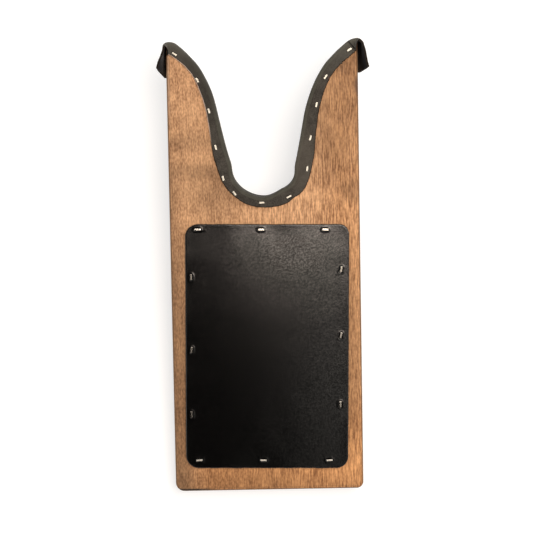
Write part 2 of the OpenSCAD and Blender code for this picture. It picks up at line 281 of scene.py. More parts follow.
class NotchSide:
    # one side of the notch, from its bottom round the prong's tip and down the tail

    def __init__(self, cant):
        self.cant = cant
        b = boardShape
        self.bottom = b["length"] - b["notchDepth"]
        self.mouth = b["width"] / 2 - b["tipRadius"]
        c, lip = math.radians(cant), math.radians(b["lipAngle"])
        across = self.mouth - b["throatRadius"] * math.cos(c) - b["lipRadius"] * math.cos(lip)
        up = (b["notchDepth"] - b["throatRadius"] * (1 - math.sin(c))
              - b["lipRadius"] * (1 - math.sin(lip)))
        narrow, rise = math.cos(c) - math.cos(lip), math.sin(lip) - math.sin(c)
        d = math.cos(lip - c) - 1
        self.straight = (across * rise - narrow * up) / d
        self.flareRadius = (math.sin(c) * up - math.cos(c) * across) / d
        self.throatEnd = b["throatRadius"] * math.radians(90 - cant)
        self.flareStart = self.throatEnd + self.straight
        self.lipStart = self.flareStart + self.flareRadius * math.radians(b["lipAngle"] - cant)
        self.tipStart = self.lipStart + b["lipRadius"] * math.radians(90 - b["lipAngle"])
        self.tailStart = self.tipStart + b["tipRadius"] * math.pi / 2

    def at(self, s):
        # place and heading at length s
        b = boardShape
        r, c = b["throatRadius"], self.cant
        corner = Vector((r * cosine(c), self.bottom + r * (1 - sine(c))))
        if s < self.throatEnd:
            h = 90 - s / self.throatEnd * (90 - c)
            return Vector((r * cosine(h), self.bottom + r * (1 - sine(h)))), h
        if s < self.flareStart:
            return corner + (s - self.throatEnd) * along(c), c
        p = corner + self.straight * along(c)
        if s < self.lipStart:
            h = c + (s - self.flareStart) / (self.lipStart - self.flareStart) * (b["lipAngle"] - c)
            return p + arcStep(self.flareRadius, c, h), h
        p = p + arcStep(self.flareRadius, c, b["lipAngle"])
        if s < self.tipStart:
            h = (b["lipAngle"] + (s - self.lipStart) / (self.tipStart - self.lipStart)
                 * (90 - b["lipAngle"]))
            return p + arcStep(b["lipRadius"], b["lipAngle"], h), h
        centre = Vector((self.mouth, b["length"] - b["tipRadius"]))
        if s < self.tailStart:
            h = 90 + 90 * (s - self.tipStart) / (self.tailStart - self.tipStart)
            return centre + b["tipRadius"] * outward(h), h
        return Vector((b["width"] / 2, centre[1] - (s - self.tailStart))), 180.0


def fromTable(table, x):
    # straight lines between [place, value] pairs
    if x <= table[0][0]:
        return table[0][1]
    for (x0, y0), (x1, y1) in zip(table, table[1:]):
        if x <= x1:
            return y0 + (y1 - y0) * (x - x0) / (x1 - x0)
    return table[-1][1]


easeWeights = (.06, .12, .2, .24, .2, .12, .06)


def eased(table, x, reach=2.5):
    # the same with its corners smoothed over a few mm
    return sum(fromTable(table, x + k * reach / 3) * share
               for k, share in enumerate(easeWeights, -3))


# the suede strip folded over the notch's edge

liningSettings = {
    "step": 0.55,           # mm between the strip's rings
    "tipRings": 12, "tailRings": 24,
    "underSteps": 8, "lowerSteps": 6, "wallSteps": 8, "upperSteps": 8, "flapSteps": 20,
    "lowerFold": 1.2, "upperFold": 1.55,    # radius to the middle of the leather
    "flaps": 15.8, "widestTop": 9, "leastUnder": 0.5,
    "tail": (23.5, 22.0), "tailFold": 5.0, "tailUnder": 3.0, "cornerUnder": 0.8,
    "tailSlant": (8.2, 5.2), "tailFree": 0.3,
    # a tail's lean in degrees, by mm along it
    "lean": ([[-1.7, 0], [0, 0.4], [3.6, 1.6], [10.4, 4.9], [16.3, 8.6], [23.5, 11.2]],
             [[-1.7, 1.5], [0, 4.2], [10, 7.6], [17.6, 10.4], [22, 12.6]]),
    "lastFlap": 7.5, "lastRagged": 0.6,
    "turning": 40,          # degrees over which the flap's width changes to the tail's
    "lowShare": 0.7,        # of the stand-off, at the wall's lower edge
    "slice": 0.55,          # mm that the cut edge slants
    "bulge": (0.18, 0.22),  # how far the lower and upper cut edges round out
    "waviness": 0.22, "underWaviness": 0.25,    # mm that the cut edges wander
    "raggedness": (0.10, 0.22),
    # times more ragged, by mm along the right side
    "tornRight": [[0, 1], [120, 1], [128, 7], [142, 7], [146, 1]],
    "lift": 0.30,           # mm that the free edge rises between two staples
    "beyond": (8.0, 4),     # mm past the first and last staple's run
    "swell": 0.22,          # mm of unevenness in the leather
    "underSwell": 0.3, "pressedSwell": 0.9,    # shares of it
    "nap": 0.05,            # mm of roughness
    "waves": {"edge": 6.0, "torn": 1.3, "under": 5.0, "swell": 9.0, "nap": 1.6},    # mm
    "dimple": 0.8, "rim": 0.45,   # depth under a staple's crown and height of the leather round it
    "dimpleShort": 1.9, "dimpleWide": 0.62, "rimAt": 1.4, "rimWide": 0.65, "pressedFold": 60,
    "wallHighlight": 0.35, "highlightRows": 2,    # strength of the painted highlight on the wall's last rows beside the fold, and how many rows get it
}
# how far the leather stands off the wood, [mm along the edge, mm]
standOff = (
    [[0, .35], [11.5, .65], [23.5, .35], [29, .3], [34, .8], [40.7, 1.75], [47, 1.0], [53, .5],
     [67.7, .15], [88, .12], [99, .1], [110, .45], [118, .8], [129, .5], [137.5, .7], [142, .7],
     [145, .3], [170, .3]],
    [[0, .35], [3.8, .6], [9, 1.6], [14.8, 2.2], [19, 1.0], [24, .1], [28, .1], [33, .8],
     [40, 1.75], [54, 1.0], [66, .65], [77, .45], [88, .1], [98.5, .3], [107, .6], [117, .95],
     [125, .4], [134.5, .15], [141, .2], [144, .6], [147, .9], [152, 1.2], [170, .7]],
)
# the cut edge's distance from the wood's edge on the board's face, [mm along the edge, mm]
cutEdge = (
    [[0, 4.7], [9.2, 4.87], [19.8, 4.74], [31.8, 6.0], [42.3, 7.0], [52.5, 7.67], [70.2, 5.93],
     [82.9, 5.16], [98.3, 5.18], [112.2, 4.08], [122.9, 4.2], [133, 5.4], [137.5, 5.81],
     [142.5, 6.26], [150, 6.3]],
    [[0, 4.7], [6.7, 5.3], [14.8, 6.46], [18.7, 5.82], [22, 7.2], [26.8, 7.89], [37.3, 7.94],
     [49.4, 8.58], [68.2, 7.47], [86.4, 6.86], [94.4, 6.53], [104.1, 5.69], [114.5, 5.21],
     [121.7, 5.19], [128.9, 5.91], [134.5, 6.19], [143.6, 6.19], [150, 6.2]],
)
# angle by which the top flap folds over at a tip, [heading, degrees]
tipFold = (
    [[52, 90], [84, 90], [90, 82], [100, 58], [112, 32], [128, 14], [145, 8], [180, 4]],
    [[52, 90], [84, 90], [89, 84], [96, 55], [104, 24], [114, 8], [180, 4]],
)
# staples through the top flap: side, fraction of the way to the tip, inset, turn
topStaples = [
    (-1, .94, 3.4, 7), (-1, .756, 3.2, -1), (-1, .581, 3.4, 3), (-1, .393, 4.8, 4),
    (-1, .233, 4.9, -7), (-1, .15, 3.6, -9), (-1, .013, 1.6, 4),
    (1, .119, 3.6, -9), (1, .27, 5.4, 1), (1, .427, 4.5, -6), (1, .603, 4.6, 2),
    (1, .758, 2.5, -2), (1, .947, 3, -7)]
underStaples = [.07, .26, .44, .62, .8, .93]
underInset = 4.0
crownWidth = 5.7

notchSides = (NotchSide(boardShape["cantLeft"]), NotchSide(boardShape["cantRight"]))


def staplePlace(side, fraction, inset, turn):
    run = notchSides[0 if side < 0 else 1]
    p, h = run.at(fraction * run.tipStart)
    q = p - inset * outward(h)
    return side * q[0], q[1], side * (90 - h) + turn


topPlaces = [staplePlace(*s) for s in topStaples]
underPlaces = [staplePlace(side, f, underInset, 0) for side in (-1, 1) for f in underStaples]


def crownDistance(u, v, place, short):
    # distance in mm from a line along a staple's crown, shorter than it at both ends
    x, y, angle = place
    du, dv = u - x, v - y
    across = -du * sine(angle) + dv * cosine(angle)
    length = abs(du * cosine(angle) + dv * sine(angle))
    return math.hypot(max(length - crownWidth / 2 + short, 0), across)


def pressed(u, v, places, s):
    # distance to the nearest staple, and how far the leather is down and up there, both 0 to 1
    near = min(crownDistance(u, v, place, s["dimpleShort"]) for place in places)
    return (near, math.exp(-(near / s["dimpleWide"]) ** 2),
            math.exp(-((near - s["rimAt"]) / s["rimWide"]) ** 2))


creaseSettings = {
    "from": (63.2, 334.3), "to": (67.6, 329.2),
    "deep": 0.9, "wide": 0.5, "rise": 0.6, "slope": 2.0, "fade": 0.02,
}


def tipCrease(u, v):
    # a sharp crease over the right prong's tip, with the leather rising beyond it
    c = creaseSettings
    a, b = Vector(c["from"]), Vector(c["to"])
    run = b - a
    t = (Vector((u, v)) - a).dot(run) / run.length_squared
    away = (Vector((u, v)) - a).cross(run.normalized()) * -1
    fade = math.exp(-max(0.0, t - 1, -t) ** 2 / c["fade"])
    rise = min(1.0, max(0.0, away / c["slope"]))
    dent = math.exp(-(away / c["wide"]) ** 2)
    return fade * (c["rise"] * rise - c["deep"] * dent), fade * dent


underFlap, lowerFold, wallPart, upperFold, topFlap = range(5)    # the strip's zones
flatFold = 89.9    # degrees from which the top flap lies flat on the board


def around(centre, radius, angle):
    # a point of the section's folds, angle in radians from straight down
    return centre + radius * Vector((math.sin(angle), -math.cos(angle)))


def sectionLine(top, under, fold, lean, low, high):
    # the strip's middle line as (distance out, height, direction, zone), under flap first
    s = liningSettings
    t = boardShape["thick"]
    g = liningGap + liningThick / 2
    r1, r2 = s["lowerFold"], s["upperFold"]
    e = 90 - lean - math.degrees(math.atan2(high - low, t))
    er = math.radians(e)
    c1 = Vector((g + low - r1, -g + r1))
    p3 = around(c1, r1, er)
    flat = fold >= flatFold
    turn = 180 - e if flat else fold
    upper = r2 * 90 / max(turn, 4)
    if flat:
        rise = t + g - upper * (1 + math.cos(er)) - p3[1]
        wall = rise / math.sin(er)
    else:
        wall = t + 2 * g - r1 - r2
    p4 = p3 + wall * Vector((math.cos(er), math.sin(er)))
    c2 = p4 + upper * Vector((-math.sin(er), math.cos(er)))
    line = []
    for k in range(s["underSteps"]):
        line.append((c1[0] - under * (1 - k / s["underSteps"]), -g, 0.0, underFlap))
    for k in range(s["lowerSteps"]):
        q = er * k / (s["lowerSteps"] - 1)
        line.append((*around(c1, r1, q), math.degrees(q), lowerFold))
    for k in range(1, s["wallSteps"] + 1):
        line.append((*(p3 + (p4 - p3) * k / (s["wallSteps"] + 1)), e, wallPart))
    for k in range(s["upperSteps"]):
        q = er + math.radians(turn) * k / (s["upperSteps"] - 1)
        line.append((*around(c2, upper, q), math.degrees(q), upperFold))
    q = er + math.radians(turn)
    p6 = around(c2, upper, q)
    length = top + p6[0] if flat else top
    for k in range(1, s["flapSteps"] + 1):
        p = p6 + length * k / s["flapSteps"] * Vector((math.cos(q), math.sin(q)))
        line.append((*p, math.degrees(q), topFlap))
    return line


def newPiece(name, mesh, work):
    # the finished bmesh as an object, smooth but for its sharp edges
    bmesh.ops.recalc_face_normals(work, faces=work.faces)
    work.to_mesh(mesh)
    work.free()
    piece = bpy.data.objects.new(name, mesh)
    scene.collection.objects.link(piece)
    bpy.ops.object.select_all(action="DESELECT")
    piece.select_set(True)
    bpy.context.view_layer.objects.active = piece
    bpy.ops.object.shade_smooth_by_angle(angle=math.radians(50))
    return piece


def wander(x, y, size, seed=0.0):
    # smooth unevenness from -1 to 1, size in mm
    return noise.noise(Vector((x / size, y / size, seed)))


def liningRings(index):
    run = notchSides[index]
    side = (-1, 1)[index]
    s = liningSettings
    waves = s["waves"]
    places = [0.0]
    while places[-1] < run.lipStart:
        places.append(places[-1] + s["step"])
    places[-1] = run.lipStart
    for start, length, steps in ((run.lipStart, run.tipStart - run.lipStart, s["tipRings"]),
                                 (run.tipStart, run.tailStart - run.tipStart, s["tipRings"]),
                                 (run.tailStart, s["tail"][index], s["tailRings"])):
        places += [start + length * k / steps for k in range(1, steps + 1)]
    stops = sorted(staple[1] * run.tipStart for staple in topStaples if staple[0] == side)
    stops = [-s["beyond"][0]] + stops + [run.tipStart + s["beyond"][1]]
    half = liningThick / 2
    tailHeight = boardShape["thick"] + s["lastFlap"]
    wallTop = s["underSteps"] + s["lowerSteps"] + s["wallSteps"]
    flapStart = wallTop + s["upperSteps"] - 1
    rings = []
    for q in places:
        p, h = run.at(q)
        tailPart = max(0.0, (q - run.tailStart) / s["tail"][index])
        high = eased(standOff[index], q)
        low = s["lowShare"] * high
        fold = fromTable(tipFold[index], h) if q >= run.lipStart - 0.01 else 90.0
        if tailPart > 0:
            fold = s["tailFold"]
        torn = s["raggedness"][index] * (fromTable(s["tornRight"], q) if index else 1)
        edgeNoise = (s["waviness"] * wander(q, side * 9, waves["edge"], 1.7)
                     + torn * wander(q, side * 5, waves["torn"], 5.1))
        last = s["lastFlap"] + edgeNoise * s["lastRagged"]
        flatTop = eased(cutEdge[index], q, 1.5) + edgeNoise
        blend = min(1.0, max(0.0, (90 - fold) / s["turning"]))
        top = flatTop if fold >= flatFold else (flatTop + 0.25) * (1 - blend) + last * blend
        room = (boardShape["width"] / 2 - s["tailUnder"] - 1 - p[0]) / max(cosine(h), 0.01)
        under = min(s["flaps"] - min(top, s["widestTop"]), max(s["cornerUnder"], room))
        if tailPart > 0:
            under = min(s["tailUnder"], s["cornerUnder"] + s["tail"][index] * tailPart)
        under += s["underWaviness"] * wander(q, 40, waves["under"], 3.3)
        lean = fromTable(s["lean"][index], q - run.tailStart)
        line = sectionLine(top, max(under, s["leastUnder"]), fold, lean, low, high)
        # how free the flap is here: none at a staple, most half-way between two
        start, end = next((gap for gap in zip(stops, stops[1:]) if gap[0] <= q < gap[1]),
                          (q - 1, q + 1))
        free = math.sin(math.pi * (q - start) / (end - start)) ** 2
        if tailPart:
            free = s["tailFree"]
        outer, inner, marks = [], [], []
        for n, (a, w, d, zone) in enumerate(line):
            normal = Vector((sine(d), -cosine(d)))
            # slow unevenness moves the whole leather outwards only, so it stays off the wood
            unevenness = 0.5 + 0.5 * wander(q + side * 300, n * 1.3, waves["swell"], 2.0)
            swell = s["swell"] * unevenness
            if zone == topFlap:
                share = (n - flapStart) / s["flapSteps"]
                swell += s["lift"] * free * share ** 2
            if zone == underFlap:
                swell *= s["underSwell"]
            middle = Vector((a, w)) + normal * swell
            points = []
            for away in (half, -half):
                x = middle + normal * away
                slant = max(x[1], 0) / tailHeight * s["tailSlant"][index] * tailPart
                flatPoint = p + x[0] * outward(h) - slant * along(h)
                points.append([side * flatPoint[0], flatPoint[1], x[1]])
            face, back = points
            press = 0.0
            if zone in (upperFold, topFlap) and fold > s["pressedFold"]:
                press, rim = pressed(*face[:2], topPlaces, s)[1:]
                raised, dent = tipCrease(*face[:2]) if index == 1 else (0.0, 0.0)
                face[2] += raised
                face[2] -= (s["dimple"] + swell * s["pressedSwell"]) * press - s["rim"] * rim
                if zone == topFlap:
                    back[2] -= swell * s["pressedSwell"] * press
                # painted shade: press darkens the staples' dimples and the crease's dent
                press = max(press, 0.9 * dent)
            if zone == underFlap:
                press, rim = pressed(*face[:2], underPlaces, s)[1:]
                face[2] += s["dimple"] * press - s["rim"] * rim
            nap = s["nap"] * wander(face[0] + 50, face[1] + face[2], waves["nap"], 7.0)
            outer.append([face[0] + nap * 0.3, face[1], face[2] + nap])
            inner.append(back)
            # pale marks a painted highlight on the rolled folds, where they catch the light
            pale = 1.0 if zone == upperFold else 0.0
            if wallTop - s["highlightRows"] <= n < wallTop:
                pale = s["wallHighlight"]
            marks.append((press, pale))
        rings.append((outer, inner, marks))
    return rings


def buildLining():
    s = liningSettings
    rings = liningRings(0)[::-1] + liningRings(1)[1:]
    count = len(rings[0][0])
    points, press, foldHighlight = [], [], []
    for outer, inner, marks in rings:
        # the cut edges bulge a little past the two faces
        edges = []
        for end, inside, bulge in ((0, 1, s["bulge"][0]), (-1, -2, s["bulge"][1])):
            middle = [(x + y) / 2 for x, y in zip(outer[end], inner[end])]
            edges.append([m + (m - o) * bulge for m, o in zip(middle, outer[inside])])
        lowEdge, highEdge = edges
        beyond = [m - o for m, o in zip(inner[-1], inner[-2])]
        reach = math.hypot(*beyond)
        inner[-1] = [m + s["slice"] * k / reach for m, k in zip(inner[-1], beyond)]
        ring = outer + [highEdge] + inner[::-1] + [lowEdge]
        points += [seated(*x) for x in ring]
        plain = [0.0] * (len(inner) + 2)
        press += [m[0] for m in marks] + plain
        foldHighlight += [m[1] for m in marks] + plain
    ringSize = 2 * count + 2
    faceSide, backSide, cutSide = range(3)    # the three materials
    faces, kinds = [], []
    for j in range(len(rings) - 1):
        for i in range(ringSize):
            a, b = j * ringSize + i, j * ringSize + (i + 1) % ringSize
            faces.append((a, a + ringSize, b + ringSize, b))
            if i < count - 1:
                kinds.append(faceSide)
            elif i in (count - 1, count, 2 * count, 2 * count + 1):
                kinds.append(cutSide)
            else:
                kinds.append(backSide)
    for base in (0, (len(rings) - 1) * ringSize):  # the cut ends of the two tails
        for i in range(count - 1):
            faces.append((base + i, base + i + 1, base + 2 * count - 1 - i, base + 2 * count - i))
        faces.append((base, base + 2 * count, base + 2 * count + 1))
        faces.append((base + count - 1, base + count, base + count + 1))
        kinds += [cutSide] * (count + 1)
    mesh = bpy.data.meshes.new("notchLining")
    mesh.from_pydata(points, [], faces)
    for name, values in (("press", press), ("foldHighlight", foldHighlight)):
        layer = mesh.attributes.new(name, "FLOAT", "POINT")
        layer.data.foreach_set("value", values)
    mesh.polygons.foreach_set("material_index", kinds)
    work = bmesh.new()
    work.from_mesh(mesh)
    return newPiece("notchLining", mesh, work)


notchLining = buildLining()
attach(notchLining, "root")
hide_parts("notch_lining")
print("suede lining folded over the notch:", len(notchLining.data.polygons), "faces")


# the leather tread pad

padSettings = {
    "width": 121.4, "length": 183.5, "middle": 108.75, "thick": 2.0,
    "skew": 1.05,           # degrees clockwise
    "corners": (9.0, 7.1, 9.7, 9.8),   # lower right, upper right, upper left, lower left
    "leastCorner": 2.5, "cornerSteps": 14,
    "sideSteps": (300, 200, 300, 200),    # right, top, left, bottom
    # mm in from the edge at each ring of the top, and of the underside with its height
    "insets": (0.0, 0.12, 0.3, 0.55, 0.9, 1.35, 1.8, 2.25, 2.7, 3.1, 3.5, 3.9, 4.3, 4.7, 5.1, 5.5,
               5.9, 6.3, 6.8, 7.4, 8.2, 9.5, 11.5, 14, 18, 23, 29, 36, 44, 52, 60.69),
    "underRings": ((-0.05, 1.0), (0.0, 0.35), (0.25, 0.02), (6.0, 0.0), (20, 0.0), (60.69, 0.0)),
    "edgeRound": 0.75, "edgeDrop": 0.8,
    "waviness": 0.12, "wavyWithin": 3, "wavyReach": 60,    # mm that the outline wanders
    "stapleInset": 4.6,
    "dimple": 1.05, "dimpleShort": 1.4, "dimpleWide": 0.75,
    "rim": 0.15, "rimAt": 1.5, "rimWide": 0.5, "paintedShadeWide": 1.75,
    "lift": 0.35, "liftWide": 5, "liftFrom": 14,    # mm that the edge rises between staples
    "underLift": 0.8,
    "swell": 0.04,
    "dome": 0.7,            # mm that the leather rises towards its middle
}
padRows = {    # mm that a row of staples is shifted, (fraction along the row, degrees of turn)
    "top": (0.8, [(-.424, 2), (-.037, 0), (.354, -2)]),
    "bottom": (1.5, [(-.418, 5), (-.023, -3), (.384, 4)]),
    "left": (-0.2, [(.285, 3), (-.012, -4), (-.277, 6)]),
    "right": (-1.2, [(.317, -9), (.047, -12), (-.236, 2)]),
}


def padStaplePlaces():
    p = padSettings
    x = p["width"] / 2 - p["stapleInset"]
    y = p["length"] / 2 - p["stapleInset"]
    places = []
    for row, level in (("top", y), ("bottom", -y)):
        shift, staples = padRows[row]
        places += [(f * p["width"], level + shift, t) for f, t in staples]
    for row, level in (("left", -x), ("right", x)):
        shift, staples = padRows[row]
        places += [(level + shift, f * p["length"], 90 + t) for f, t in staples]
    return places


def padOutline(inset):
    # a rounded rectangle, counter-clockwise from the lower right corner, always as many points
    p = padSettings
    halfWide, halfLong = p["width"] / 2 - inset, p["length"] / 2 - inset
    steps = p["cornerSteps"]
    arcs = []
    for number, (sx, sy) in enumerate(((1, -1), (1, 1), (-1, 1), (-1, -1))):
        r = min(max(p["corners"][number] - inset, p["leastCorner"]), halfWide)
        centre = Vector((sx * (halfWide - r), sy * (halfLong - r)))
        angles = [math.radians(-90 + 90 * number + 90 * k / steps) for k in range(steps + 1)]
        arcs.append([centre + r * Vector((math.cos(q), math.sin(q))) for q in angles])
    found = []
    for number, arc in enumerate(arcs):
        found += arc
        a, b = arc[-1], arcs[(number + 1) % 4][0]
        steps = p["sideSteps"][number]
        found += [a + (b - a) * k / steps for k in range(1, steps)]
    return found


def padHeight(x, y, inset, places):
    # the top's height at one point, the painted shade round a staple, and how far the edge is
    # lifted
    p = padSettings
    r = p["edgeRound"]
    drop = r - math.sqrt(max(r * r - max(r - inset, 0) ** 2, 0))
    near, press, rim = pressed(x, y, places, p)
    # painted shade round each staple, wider than its dimple
    dark = math.exp(-(near / p["paintedShadeWide"]) ** 6)
    edge = math.exp(-inset / p["liftWide"])
    away = 1 - math.exp(-(near / p["liftFrom"]) ** 2)
    lift = p["lift"] * edge * away * (0.55 + 0.45 * wander(x, y, 22, 4.0))
    slow = p["swell"] * wander(x, y, 16, 8.0)
    slow += p["dome"] * (1 - (2 * x / p["width"]) ** 2) * (1 - (2 * y / p["length"]) ** 2)
    height = (p["thick"] - drop * p["edgeDrop"] - p["dimple"] * press + p["rim"] * rim
              + lift + slow * (1 - press))
    return height, dark, lift * p["underLift"]


def buildPad():
    p = padSettings
    places = padStaplePlaces()
    skew = -p["skew"]
    work = bmesh.new()
    pressLayer = work.verts.layers.float.new("press")
    insetLayer = work.verts.layers.float.new("inset")

    def addRing(inset, level=None):
        # one ring of the top, or of the underside when its level is given
        ring = []
        for x, y in padOutline(max(inset, 0)):
            height, press, lift = padHeight(x, y, max(inset, 0), places)
            wobble = p["waviness"] * wander(x, y, 9, 6.0) if inset < p["wavyWithin"] else 0
            grow = 1 + wobble / p["wavyReach"] - min(inset, 0) / p["wavyReach"]
            if level is not None:
                height, press = level + (lift if inset < p["liftWide"] else 0), 0.0
            x, y = x * grow, y * grow
            u = x * cosine(skew) - y * sine(skew)
            v = x * sine(skew) + y * cosine(skew) + p["middle"]
            vert = work.verts.new(seated(u, v, boardShape["thick"] + height))
            # press holds the painted shade round the staples
            vert[pressLayer] = press
            vert[insetLayer] = inset
            ring.append(vert)
        return ring

    top = [addRing(inset) for inset in p["insets"]]
    rings = top[::-1] + [addRing(inset, level) for inset, level in p["underRings"]]
    count = len(rings[0])
    for k, (a, b) in enumerate(zip(rings, rings[1:])):
        for i in range(count):
            j = (i + 1) % count
            face = work.faces.new((a[i], b[i], b[j], a[j]))
            if len(top) - 1 <= k < len(top) + 1:    # the cut edge
                face.material_index = 1
    bmesh.ops.remove_doubles(work, verts=work.verts, dist=0.00003)
    bmesh.ops.dissolve_degenerate(work, edges=work.edges, dist=0.000005)
    return newPiece("treadPad", bpy.data.meshes.new("treadPad"), work)


treadPad = buildPad()
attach(treadPad, "root")
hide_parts("tread_pad")
print("tread pad laid:", len(treadPad.data.polygons), "faces")


# effects that several finishes share

# blotches, long streaks, short dark flecks and fine speckle of a stained wood, grain along y
woodFigure, source, sink = newGroup(
    "woodFigure",
    {"Vector": "Vector", "Light": "Color", "Dark": "Color", "Fleck": "Color", "Flecks": "Float",
     "Speckle": "Float", "Grain": "Float"},
    {"Color": "Color", "Height": "Float"})
g, at = woodFigure, source["Vector"]
blotch = noiseField(g, at, (0.034, 0.024, 0.05), 2, 0.5)
cloud = noiseField(g, at, (0.17, 0.075, 0.17), 2, 0.5)
streak = noiseField(g, at, (0.5, 0.016, 0.5), 3, 0.6, twist=0.2)
dash = spread(g, noiseField(g, at, (1.05, 0.11, 1.05), 1, 0.4), 0.3, 0.7)
speck = spread(g, noiseField(g, at, (0.95, 0.42, 0.95), 1, 0.4), 0.3, 0.7)
tone = maths(g, "MULTIPLY_ADD", less(g, blotch, 0.5), 0.8, 0.5)
for field, amount in ((cloud, 0.5), (streak, 0.5), (dash, source["Grain"]),
                      (speck, source["Speckle"])):
    tone = maths(g, "MULTIPLY_ADD", less(g, field, 0.5), amount, tone)
ground = mixed(g, maths(g, "ADD", tone, 0.0, clamp=True), source["Dark"], source["Light"])
fleckField = noiseField(g, at, (1.2, 0.2, 1.2), 1, 0.5)
fleckMask = times(g, spread(g, fleckField, 0.33, 0.24), source["Flecks"])
put(g, sink["Color"], mixed(g, fleckMask, ground, source["Fleck"]))
put(g, sink["Height"], less(g, times(g, dash, 0.4), fleckMask))

# fine fibres and soft hollows of leather: Fac for colour, Height for relief
leatherNap, source, sink = newGroup(
    "leatherNap", {"Vector": "Vector", "Fibre": "Float", "Patch": "Float"},
    {"Fac": "Float", "Height": "Float"})
g = leatherNap
fibre = noiseField(g, source["Vector"], source["Fibre"], 3, 0.65, twist=0.4)
patch = times(g, noiseField(g, source["Vector"], source["Patch"], 3, 0.6), 0.5)
put(g, sink["Fac"], spread(g, maths(g, "MULTIPLY_ADD", fibre, 0.6, patch), 0.36, 0.76))
put(g, sink["Height"], maths(g, "MULTIPLY_ADD", fibre, 0.7, patch))
print("shared effects built")


# finishes

def ellipseSpot(tree, u, v, centre, size):
    # soft oval mask round a place on the board, size as two half widths in mm
    x = maths(tree, "DIVIDE", less(tree, u, centre[0]), size[0])
    y = maths(tree, "DIVIDE", less(tree, v, centre[1]), size[1])
    squares = [maths(tree, "POWER", unsigned(tree, a), 2.0) for a in (x, y)]
    return spread(tree, maths(tree, "SQRT", maths(tree, "ADD", *squares)), 1.15, 0.35)


woodTones = {
    "light": (0.80, 0.455, 0.235, 1), "dark": (0.25, 0.113, 0.046, 1),
    "fleck": (0.17, 0.08, 0.035, 1), "edge": (0.12, 0.062, 0.03, 1),
    "plyPale": (0.44, 0.26, 0.135, 1), "plyDeep": (0.20, 0.105, 0.05, 1),
    "chip": (0.10, 0.05, 0.028, 1), "wornArris": (0.36, 0.26, 0.2, 1),
    "paintedShadow": (0.02, 0.014, 0.01, 1), "warmth": (1.0, 0.87, 0.68, 1),
    "stainAndShade": (0.43, 0.41, 0.37, 1),
}
woodRanges = {    # where a mask starts and is full, in mm or in noise, then its two results
    "speckle": (-40.0, 20.0, 0.42, 0.28), "grain": (-40.0, 20.0, 0.3, 0.6),
    "warmHeel": (150.0, 10.0), "warmLeft": (-70.0, -40.0), "warmRight": (30.0, 60.0),
    "glueLine": (0.55, 0.05), "leftSide": (-60.0, -66.0), "leftProng": (270.0, 300.0),
    "arris": (2.6, 1.8), "edgeStainAndShade": (1.5, 0.6), "heelShadowReach": (2.2, 1.4),
    "plyBand": (0.42, 0.58), "plySeam": (0.10, 0.02), "sawnFace": (0.45, 0.9),
    "rough": (0.2, 0.8, 0.5, 0.68),
}
glueDepth = 2.25    # mm from the edge to a fine dark line on the face
plyThick = 1.73
# places where the wood is darker, partly stain and partly painted shade falling off towards the
# heel and the left side: centre, half widths in mm, amount
stainAndShadeSpots = [((-55, 262), (30, 7), 0.3), ((-50, 240), (26, 7), 0.4), ((-72, 226), (12, 26), 0.42),
             ((66, 224), (12, 12), 0.5), ((54, 290), (30, 80), 0.6), ((-67, 75), (14, 125), 0.95),
             ((-30, 4), (70, 24), 0.35), ((63, 100), (8, 90), 0.55), ((0, 0), (120, 16), 0.34),
             ((60, 318), (12, 8), 0.35), ((-35, 225), (30, 25), 0.36), ((-70, 180), (14, 45), 0.4),
             ((-45, 250), (40, 60), 0.32)]
heelShadowPlace = ((-62.0, 0.0), (22, 12))
tipCornerShadePlace = ((70.6, 331.0), (2.4, 8.0))
chipPlace = ((70.0, 303.0), (2.6, 9.0))


def stainedFigure(tree, at, tones, flecks, speckle, grain):
    return grouped(tree, woodFigure, Vector=at, Light=tones["light"], Dark=tones["dark"],
                   Fleck=tones["fleck"], Flecks=flecks, Speckle=speckle, Grain=grain)


